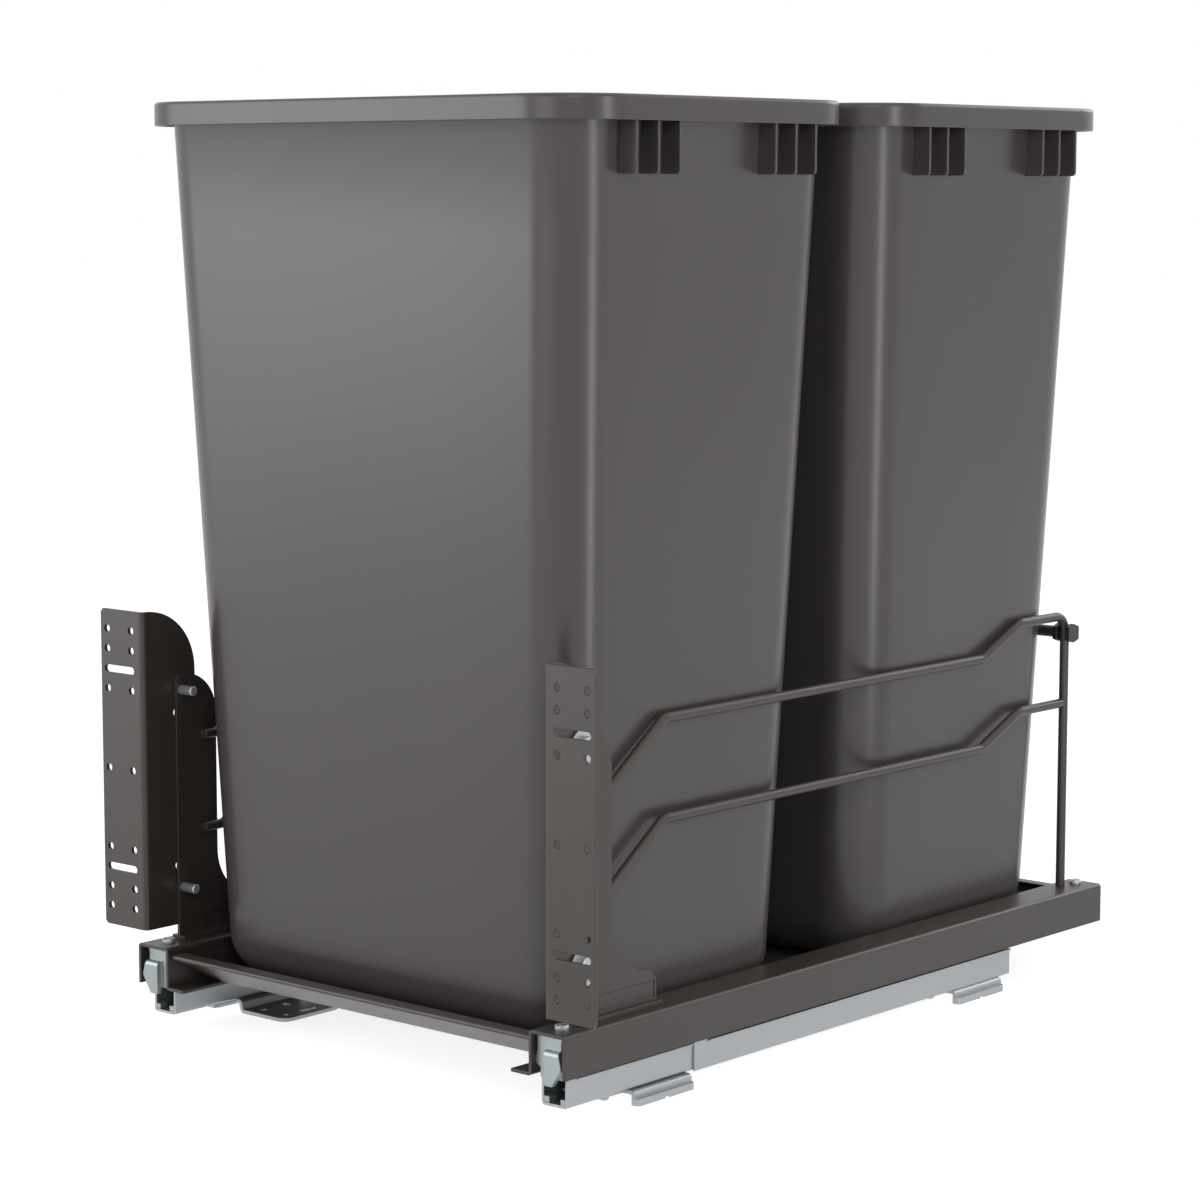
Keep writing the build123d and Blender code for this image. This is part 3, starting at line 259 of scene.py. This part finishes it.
def rounded_ring(width, depth, radius):
    """Points round a rounded rectangle, the same number for every size."""
    points = []
    hw, hd = width / 2, depth / 2
    corners = ((hw - radius, hd - radius, 0), (-hw + radius, hd - radius, 90),
               (-hw + radius, -hd + radius, 180), (hw - radius, -hd + radius, 270))
    for index, (cx, cy, start) in enumerate(corners):
        for step in range(CORNER_STEPS + 1):
            a = math.radians(start + 90 * step / CORNER_STEPS)
            points.append((cx + radius * math.cos(a), cy + radius * math.sin(a)))
        nx, ny, nstart = corners[(index + 1) % 4]
        a = math.radians(nstart)
        end = (nx + radius * math.cos(a), ny + radius * math.sin(a))
        last = points[-1]
        for step in range(1, SIDE_STEPS):
            t = step / SIDE_STEPS
            points.append((last[0] + (end[0] - last[0]) * t, last[1] + (end[1] - last[1]) * t))
    return points


# Bins, in millimetres

RIM_WIDTH, RIM_DEPTH, RIM_ROUND = 378.0, 270.3, 44.0
BIN_HEIGHT, SKIRT = 560.3, 14.8
SIDE_OVER, FRONT_OVER = 13.5, 10.5      # how far the rim stands out past the body
SIDE_TAPER, FRONT_TAPER = 22.6, 20.0    # how far each wall leans in at the foot
BODY_ROUND, FOOT_ROUND, WALL = 33.0, 30.0, 2.5
SMALLEST_ROUND = 4.0                    # of the corners where the foot turns under
BODY_TOP = BIN_HEIGHT - SKIRT
FOOT_STEPS, BODY_STEPS, EDGE_STEPS = 10, 8, 6
BODY_SUPPORT = 0.6                      # from the last body ring up to the skirt's level
BODY_JOIN, CEILING_JOIN = 0.4, 0.8      # growth of the body at and above that level
SKIRT_EDGE, SKIRT_SUPPORT = 0.5, 0.9    # the skirt's rounded lower edge, and its support
SKIRT_MID_RISE, SKIRT_MID_CUT = 0.15, 0.3   # the ring halfway round that edge
RIM_EDGE, EDGE_SUPPORT = 2.4, 0.5       # the rim's rounded top edge, and its support
LIP_ROUND = 1.5                         # the mouth's inner edge
LIP_MID_DROP, LIP_MID_GROWTH = 0.4, 0.9
FIN_DROP, FIN_ROUND = 30.2, 2.6         # below the skirt's level, and the outer corner
FIN_HALF, FIN_PITCH = 0.95, 19.4
FIN_GROUPS = (-62.4, 65.6)              # middles of the two groups on each side wall
FIN_ROOT, FIN_BACK, FIN_TOP = 1.0, 1.0, 1.5  # into the wall, behind the skirt, into it
FIN_STEPS = 5
FIN_BEVEL, FIN_BEVEL_STEPS = 0.4, 2
BODY_SHARP, FIN_SHARP = 55.0, 30.0      # degrees


def body_size(z, inset):
    share = 1 - z / BODY_TOP
    return (RIM_WIDTH - 2 * SIDE_OVER - 2 * SIDE_TAPER * share - 2 * inset,
            RIM_DEPTH - 2 * FRONT_OVER - 2 * FRONT_TAPER * share - 2 * inset)


def grown(z, size, by):
    """A ring at a height: a width, depth and corner grown outward by this much in all."""
    width, depth, radius = size
    return z, width + by, depth + by, radius + by / 2


def body_rings(inset, floor):
    """Rings of the tapered tub from the floor's edge to its top, with a round foot."""
    rings = []
    foot = FOOT_ROUND - inset
    for step in range(FOOT_STEPS + 1):
        a = math.radians(90 * step / FOOT_STEPS)
        back = foot * (1 - math.sin(a))
        z = floor + foot * (1 - math.cos(a))
        w, d = body_size(z, inset)
        rings.append((z, w - 2 * back, d - 2 * back,
                      max(BODY_ROUND - inset - back, SMALLEST_ROUND)))
    z = floor + foot
    rise = BODY_TOP - BODY_SUPPORT - z
    for step in range(1, BODY_STEPS + 1):
        level = z + rise * step / BODY_STEPS
        rings.append((level, *body_size(level, inset), BODY_ROUND - inset))
    return rings


def bin_rings():
    """All rings of a bin: outside, skirted rim, and inside."""
    body = (*body_size(BODY_TOP, 0.0), BODY_ROUND)
    rim = (RIM_WIDTH, RIM_DEPTH, RIM_ROUND)
    skirt = (RIM_WIDTH - 2 * WALL, RIM_DEPTH - 2 * WALL, RIM_ROUND - WALL)
    mouth = (*body_size(BIN_HEIGHT, WALL), BODY_ROUND - WALL)
    ceiling = BIN_HEIGHT - WALL
    rings = body_rings(0.0, 0.0)
    rings += [
        grown(BODY_TOP, body, BODY_JOIN),
        grown(ceiling, body, CEILING_JOIN),
        grown(ceiling, skirt, 0.0),
        grown(BODY_TOP + SKIRT_EDGE, skirt, 0.0),
        grown(BODY_TOP, skirt, 2 * SKIRT_EDGE),
        grown(BODY_TOP, rim, -2 * SKIRT_EDGE),
        grown(BODY_TOP + SKIRT_MID_RISE, rim, -SKIRT_MID_CUT),
        grown(BODY_TOP + SKIRT_EDGE, rim, 0.0),
        grown(BODY_TOP + SKIRT_SUPPORT, rim, 0.0),
        grown(BIN_HEIGHT - RIM_EDGE - EDGE_SUPPORT, rim, 0.0),
    ]
    for step in range(EDGE_STEPS + 1):
        a = math.radians(90 * step / EDGE_STEPS)
        back = RIM_EDGE * (1 - math.cos(a))
        rings.append(grown(BIN_HEIGHT - RIM_EDGE + RIM_EDGE * math.sin(a), rim, -2 * back))
    rings += [
        grown(BIN_HEIGHT, mouth, 2 * LIP_ROUND),
        grown(BIN_HEIGHT - LIP_MID_DROP, mouth, LIP_MID_GROWTH),
        grown(BIN_HEIGHT - LIP_ROUND, mouth, 0.0),
    ]
    rings += reversed(body_rings(WALL, WALL))
    return rings


def fin_outline(k):
    """A fin's outline across and up, on the side wall where k is 1 or -1."""
    outer = k * (RIM_WIDTH / 2 - FIN_BACK)
    inner = k * (RIM_WIDTH / 2 - SIDE_OVER - WALL + FIN_ROOT)
    top, low = BODY_TOP + FIN_TOP, BODY_TOP - FIN_DROP
    outline = [(inner, top), (outer, top)]
    for step in range(FIN_STEPS + 1):
        a = math.radians(90 * step / FIN_STEPS)
        outline.append((outer - k * FIN_ROUND * (1 - math.cos(a)),
                        low + FIN_ROUND - FIN_ROUND * math.sin(a)))
    outline.append((inner, low))
    return outline


def build_bin(name, node, body):
    low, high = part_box(node)
    origin = Vector((0.0, (low.y + high.y) / 2, low.z))
    bm = bmesh.new()
    loft(bm, [loop_of(bm, origin, [(x, y, z) for x, y in rounded_ring(w, d, r)])
              for z, w, d, r in bin_rings()])
    obj = mesh_object(name, bm, BIN, BODY_SHARP)
    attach(obj, body)
    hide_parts(node)
    fins = bmesh.new()
    for k in (-1, 1):
        outline = fin_outline(k)
        for group in FIN_GROUPS:
            for n in (-1, 0, 1):
                y = group + n * FIN_PITCH
                loft(fins, [loop_of(fins, origin, [(x, y + half, z) for x, z in outline])
                            for half in (-FIN_HALF, FIN_HALF)])
    fin_obj = mesh_object(name + "_fins", fins, BIN, FIN_SHARP)
    bevel = fin_obj.modifiers.new("edge", "BEVEL")
    bevel.width = FIN_BEVEL * MM
    bevel.segments = FIN_BEVEL_STEPS
    bevel.limit_method = "ANGLE"
    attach(fin_obj, body)


build_bin("front_bin_shell", "bin_front", "front_bin")
build_bin("rear_bin_shell", "bin_rear", "rear_bin")


# Stage and light

FLOOR_HALF = 8.0
FLOOR_DROP = 0.0002
PLAIN_GREY, MUTED_GREY = 0.8, 0.5       # the floor as seen, and as it lights the part
GLOW_NEAR, GLOW_FAR = 1.0, 2.6          # distances over which the floor's glow rises
GLOW_LOW, GLOW_HIGH = 0.82, 1.0
FILL_COLOUR, FILL_STRENGTH = (0.95, 0.97, 1.0, 1), 0.06
SHOWN_COLOUR, SHOWN_STRENGTH = (1, 1, 1, 1), 1.0


def diffuse(tree, grey):
    node = tree.nodes.new("ShaderNodeBsdfDiffuse")
    node.inputs["Color"].default_value = (grey, grey, grey, 1)
    return node.outputs[0]


def background(tree, colour, strength):
    node = tree.nodes.new("ShaderNodeBackground")
    node.inputs["Color"].default_value = colour
    node.inputs["Strength"].default_value = strength
    return node.outputs[0]


def stage_material():
    """A pale floor that glows to white with distance and keeps the shadow near the part."""
    mat, tree, out = new_material("white_sweep")
    reach = tree.nodes.new("ShaderNodeVectorMath")
    reach.operation = "LENGTH"
    tree.links.new(tree.nodes.new("ShaderNodeNewGeometry").outputs["Position"], reach.inputs[0])
    glow = tree.nodes.new("ShaderNodeEmission")
    glow.inputs["Color"].default_value = (1, 1, 1, 1)
    tree.links.new(ramp(tree, reach.outputs["Value"], GLOW_NEAR, GLOW_FAR, GLOW_LOW, GLOW_HIGH),
                   glow.inputs["Strength"])
    lit = tree.nodes.new("ShaderNodeAddShader")
    tree.links.new(diffuse(tree, PLAIN_GREY), lit.inputs[0])
    tree.links.new(glow.outputs[0], lit.inputs[1])
    seen_mix(tree, diffuse(tree, MUTED_GREY), lit.outputs[0], out)
    return mat


bm = bmesh.new()
bmesh.ops.create_grid(bm, x_segments=1, y_segments=1, size=FLOOR_HALF)
floor = mesh_object("floor", bm, stage_material())
floor.location.z = -FLOOR_DROP

world = bpy.data.worlds.new("studio")
scene.world = world
world.use_nodes = True
tree = world.node_tree
tree.nodes.clear()
seen_mix(tree, background(tree, FILL_COLOUR, FILL_STRENGTH),
         background(tree, SHOWN_COLOUR, SHOWN_STRENGTH),
         tree.nodes.new("ShaderNodeOutputWorld"))


def softbox(name, place, target, width, height, power):
    data = bpy.data.lights.new(name, "AREA")
    data.shape = "RECTANGLE"
    data.size = width
    data.size_y = height
    data.energy = power
    obj = bpy.data.objects.new(name, data)
    scene.collection.objects.link(obj)
    obj.location = place
    obj.rotation_euler = (Vector(target) - Vector(place)).to_track_quat("-Z", "Y").to_euler()


# Each lamp: name, place, what it faces, width, height, watts
LAMPS = (
    ("key_left", (-2.4, -2.2, 2.0), (0, 0.2, 0.35), 1.2, 1.8, 22.0),
    ("low_left", (-1.8, -2.0, 0.6), (0, 0.1, 0.3), 1.6, 1.0, 19.0),
    ("front_low", (0.3, -2.4, 0.7), (0, 0.1, 0.3), 1.2, 0.8, 7.0),
    ("front_right", (2.2, -1.8, 1.6), (0, 0.2, 0.3), 1.2, 1.2, 13.0),
    ("side_strip", (1.15, 0.20, 0.45), (0.16, 0.2, 0.40), 0.15, 0.9, 3.0),
    ("rear", (0.5, 2.7, 1.4), (0, 0.4, 0.3), 1.6, 1.2, 16.0),
    ("top", (0.2, 0.3, 2.4), (0, 0.3, 0), 2.0, 2.0, 8.0),
)
for lamp in LAMPS:
    softbox(*lamp)


# Camera, at the photograph's viewing angle

AZ, EL, ROLL = math.radians(41.039), math.radians(7.049), math.radians(0.037)
CAMERA_PLACE = (1.4214, -1.3910, 0.5374)
SENSOR_WIDTH = 36.0
FOCAL_PIXELS, FRAME_PIXELS = 3326.36, 1200.0
CLIP_END = 50.0

forward = Vector((-math.sin(AZ) * math.cos(EL), math.cos(AZ) * math.cos(EL), -math.sin(EL)))
across = Vector((math.cos(AZ), math.sin(AZ), 0))
upward = across.cross(forward)
right = across * math.cos(ROLL) + upward * math.sin(ROLL)
up = right.cross(forward)
cam_data = bpy.data.cameras.new("camera")
cam_data.sensor_width = SENSOR_WIDTH
cam_data.lens = FOCAL_PIXELS * SENSOR_WIDTH / FRAME_PIXELS
cam_data.clip_end = CLIP_END
camera = bpy.data.objects.new("camera", cam_data)
scene.collection.objects.link(camera)
basis = Matrix((right, up, -forward)).transposed().to_4x4()
camera.matrix_world = Matrix.Translation(CAMERA_PLACE) @ basis
scene.camera = camera

scene.view_settings.view_transform = "Standard"
